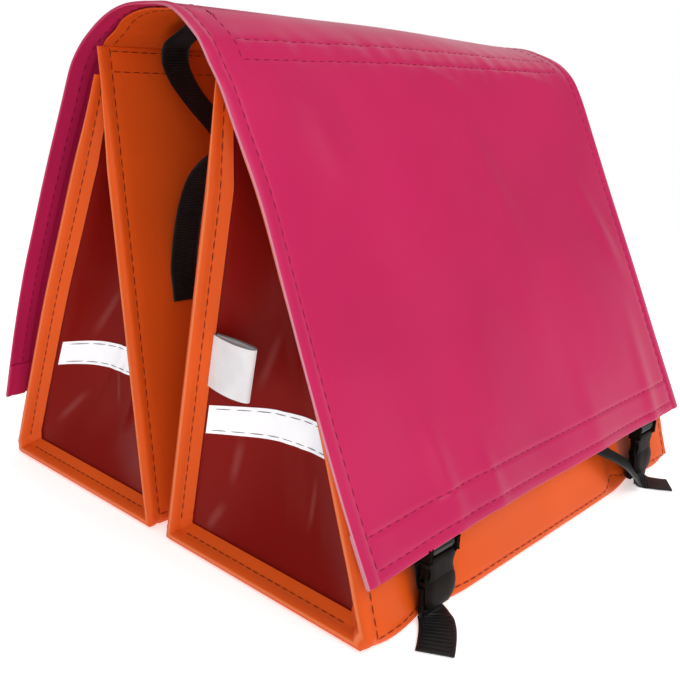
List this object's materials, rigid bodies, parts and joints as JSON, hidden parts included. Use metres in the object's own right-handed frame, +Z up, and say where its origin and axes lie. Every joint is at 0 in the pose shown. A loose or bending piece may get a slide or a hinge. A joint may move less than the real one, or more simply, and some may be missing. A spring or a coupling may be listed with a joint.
{
  "type": "double bicycle pannier",
  "caption": "Soft double bicycle pannier: wedge bags on both sides of a bridge that sits on the luggage rack, under one wide flap closed by webbing straps with side-release buckles.",
  "frame": {"origin": "on the floor, below the middle of the pannier", "axes": "+X along the bicycle, +Y from the front bag to the back bag, +Z up"},
  "size_m": [0.4486, 0.474, 0.3808],
  "materials": {
    "flap_tarpaulin": "smooth gloss coating on woven cloth, magenta",
    "shell_tarpaulin": "smooth gloss coating on woven cloth, orange",
    "gusset_tarpaulin": "smooth gloss coating on woven cloth, dark red",
    "reflective_tape": "silver-white reflective tape",
    "label_ribbon": "plain white woven ribbon, bare",
    "webbing": "ribbed black polypropylene webbing",
    "buckle_plastic": "satin black moulded plastic"
  },
  "bodies": {
    "root": {"flap": "flap_tarpaulin", "bridge": "shell_tarpaulin", "front_bag_shell": "shell_tarpaulin", "back_bag_shell": "shell_tarpaulin", "front_left_gusset": "gusset_tarpaulin", "front_right_gusset": "gusset_tarpaulin", "back_left_gusset": "gusset_tarpaulin", "back_right_gusset": "gusset_tarpaulin", "front_left_reflective_tape": "reflective_tape", "front_right_reflective_tape": "reflective_tape", "back_left_reflective_tape": "reflective_tape", "back_right_reflective_tape": "reflective_tape", "label": "label_ribbon", "left_rack_loop": "webbing", "right_rack_loop": "webbing", "front_left_flap_loop": "webbing", "front_right_flap_loop": "webbing", "back_left_flap_loop": "webbing", "back_right_flap_loop": "webbing", "front_left_bag_strap": "webbing", "front_right_bag_strap": "webbing", "back_left_bag_strap": "webbing", "back_right_bag_strap": "webbing", "front_left_buckle_socket": "buckle_plastic", "front_right_buckle_socket": "buckle_plastic", "back_left_buckle_socket": "buckle_plastic", "back_right_buckle_socket": "buckle_plastic", "front_left_buckle_plug": "buckle_plastic", "front_right_buckle_plug": "buckle_plastic", "back_left_buckle_plug": "buckle_plastic", "back_right_buckle_plug": "buckle_plastic"}
  },
  "joints": []
}
